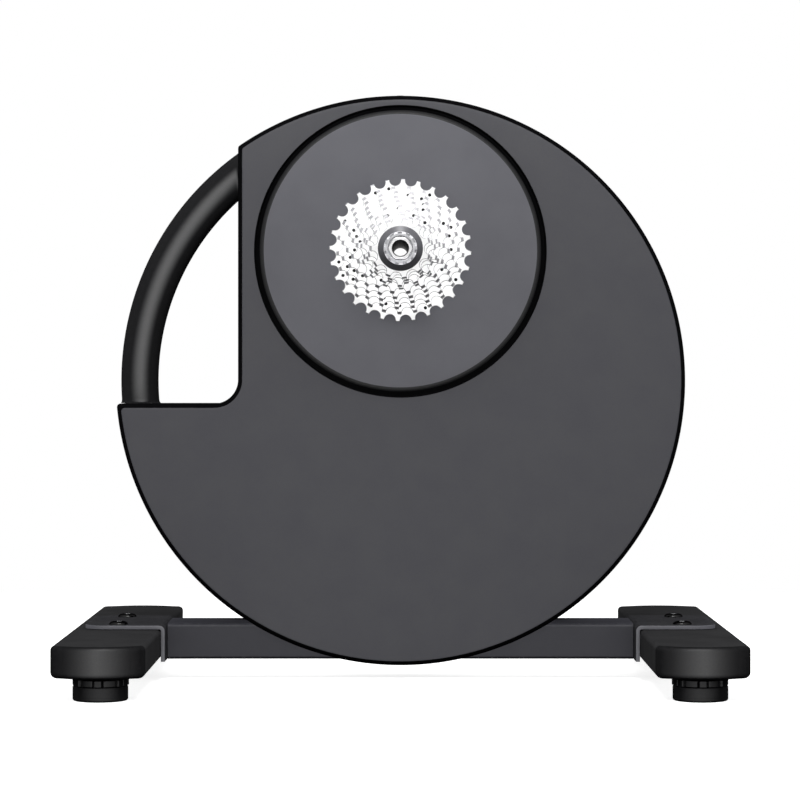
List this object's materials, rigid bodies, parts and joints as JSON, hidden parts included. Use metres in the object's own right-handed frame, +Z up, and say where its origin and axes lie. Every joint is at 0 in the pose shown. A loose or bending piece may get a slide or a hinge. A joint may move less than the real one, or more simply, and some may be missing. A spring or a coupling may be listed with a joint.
{
  "type": "direct-drive bike trainer",
  "caption": "Direct-drive indoor bike trainer: round upright housing with a carrying handle, cassette and hollow axle on its drive side, on a beam and legs with levelling feet.",
  "frame": {"origin": "on the floor, midway between the two legs and midway along them, under the middle of the housing", "axes": "+Z up, +X the way the bicycle faces, -Y the drive side with the cassette"},
  "size_m": [0.5436, 0.438, 0.49],
  "materials": {
    "housing_plastic": "charcoal, fine satin moulding",
    "cover_plastic": "mid grey, smooth satin moulding",
    "cast_leg": "die cast, charcoal powder coat",
    "painted_steel": "black powder coat on steel",
    "black_screw": "black oxide, slight sheen",
    "grip_rubber": "black, matte",
    "foot_rubber": "black, matte",
    "thumbwheel_steel": "black, satin",
    "cassette_steel": "bright nickel plate",
    "lockring_alloy": "satin, anodised grey",
    "cap_alloy": "turned, bright",
    "pulley_alloy": "turned",
    "bare_steel": "bare, oiled",
    "bearing_steel": "ground",
    "flywheel_iron": "machined",
    "stator_winding": "lacquered copper wire",
    "board": "green solder mask",
    "inlet_plastic": "black",
    "belt_rubber": "black, fabric backed",
    "light_lens": "translucent, frosted"
  },
  "bodies": {
    "root": {"cross_beam": "painted_steel", "bracket_front": "painted_steel", "bracket_rear": "painted_steel", "leg_front": "cast_leg", "leg_rear": "cast_leg", "bracket_screw_front_right": "black_screw", "bracket_screw_front_left": "black_screw", "bracket_screw_rear_right": "black_screw", "bracket_screw_rear_left": "black_screw", "front_shell": "housing_plastic", "rear_shell": "housing_plastic", "shell_screw_1": "black_screw", "shell_screw_2": "black_screw", "shell_screw_3": "black_screw", "shell_screw_4": "black_screw", "disc_cover": "cover_plastic", "status_light": "light_lens", "handle_tube": "bare_steel", "handle_grip": "grip_rubber", "inner_frame": "bare_steel", "frame_bolt_front": "bare_steel", "frame_bolt_rear": "bare_steel", "hub_axle": "bare_steel", "axle_cap_drive": "cap_alloy", "axle_cap_rear": "cap_alloy", "brake_stator": "stator_winding", "circuit_board": "board", "power_inlet": "inlet_plastic", "shaft_bearing_front": "bearing_steel", "shaft_bearing_rear": "bearing_steel", "drive_belt": "belt_rubber"},
    "flywheel": {"flywheel": "flywheel_iron", "flywheel_shaft": "bare_steel", "small_pulley": "pulley_alloy"},
    "drive_pulley": {"drive_pulley": "pulley_alloy", "pulley_bearing": "bearing_steel", "one_way_clutch": "bearing_steel"},
    "freehub": {"freehub_body": "pulley_alloy", "freehub_bearing": "bearing_steel", "freehub_bush": "bearing_steel", "lockring": "lockring_alloy", "cog_28": "cassette_steel", "cog_25": "cassette_steel", "cog_23": "cassette_steel", "cog_21": "cassette_steel", "cog_19": "cassette_steel", "cog_17": "cassette_steel", "cog_15": "cassette_steel", "cog_14": "cassette_steel", "cog_13": "cassette_steel", "cog_12": "cassette_steel", "cog_11": "cassette_steel"},
    "foot_front_right_pad": {"foot_front_right_pad": "foot_rubber"},
    "foot_front_right_wheel": {"foot_front_right_thumbwheel": "thumbwheel_steel"},
    "foot_front_left_pad": {"foot_front_left_pad": "foot_rubber"},
    "foot_front_left_wheel": {"foot_front_left_thumbwheel": "thumbwheel_steel"},
    "foot_rear_right_pad": {"foot_rear_right_pad": "foot_rubber"},
    "foot_rear_right_wheel": {"foot_rear_right_thumbwheel": "thumbwheel_steel"},
    "foot_rear_left_pad": {"foot_rear_left_pad": "foot_rubber"},
    "foot_rear_left_wheel": {"foot_rear_left_thumbwheel": "thumbwheel_steel"}
  },
  "joints": [
    {"name": "flywheel_spin", "type": "hinge", "parent": "root", "child": "flywheel", "pos_m": [0, 0, 0.19825], "axis": [0, 1, 0], "continuous": true},
    {"name": "drive_pulley_spin", "type": "hinge", "parent": "root", "child": "drive_pulley", "pos_m": [0, 0, 0.359], "axis": [0, 1, 0], "continuous": true},
    {"name": "freewheel", "type": "hinge", "parent": "drive_pulley", "child": "freehub", "pos_m": [0, 0, 0.359], "axis": [0, 1, 0], "continuous": true},
    {"name": "foot_front_right_height", "type": "slide", "parent": "root", "child": "foot_front_right_pad", "axis": [0, 0, -1], "range_m": [0, 0.01]},
    {"name": "foot_front_right_turn", "type": "hinge", "parent": "foot_front_right_pad", "child": "foot_front_right_wheel", "pos_m": [0.2356, -0.19, 0.0118], "axis": [0, 0, -1], "range_deg": [0, 2400]},
    {"name": "foot_front_left_height", "type": "slide", "parent": "root", "child": "foot_front_left_pad", "axis": [0, 0, -1], "range_m": [0, 0.01]},
    {"name": "foot_front_left_turn", "type": "hinge", "parent": "foot_front_left_pad", "child": "foot_front_left_wheel", "pos_m": [0.2356, 0.19, 0.0118], "axis": [0, 0, -1], "range_deg": [0, 2400]},
    {"name": "foot_rear_right_height", "type": "slide", "parent": "root", "child": "foot_rear_right_pad", "axis": [0, 0, -1], "range_m": [0, 0.01]},
    {"name": "foot_rear_right_turn", "type": "hinge", "parent": "foot_rear_right_pad", "child": "foot_rear_right_wheel", "pos_m": [-0.2356, -0.19, 0.0118], "axis": [0, 0, -1], "range_deg": [0, 2400]},
    {"name": "foot_rear_left_height", "type": "slide", "parent": "root", "child": "foot_rear_left_pad", "axis": [0, 0, -1], "range_m": [0, 0.01]},
    {"name": "foot_rear_left_turn", "type": "hinge", "parent": "foot_rear_left_pad", "child": "foot_rear_left_wheel", "pos_m": [-0.2356, 0.19, 0.0118], "axis": [0, 0, -1], "range_deg": [0, 2400]}
  ],
  "couplings": [
    {"joint": "drive_pulley_spin", "follows": "flywheel_spin", "ratio": 0.18095},
    {"joint": "foot_front_right_turn", "follows": "foot_front_right_height", "rad_per_m": 4188.8},
    {"joint": "foot_front_left_turn", "follows": "foot_front_left_height", "rad_per_m": 4188.8},
    {"joint": "foot_rear_right_turn", "follows": "foot_rear_right_height", "rad_per_m": 4188.8},
    {"joint": "foot_rear_left_turn", "follows": "foot_rear_left_height", "rad_per_m": 4188.8}
  ]
}
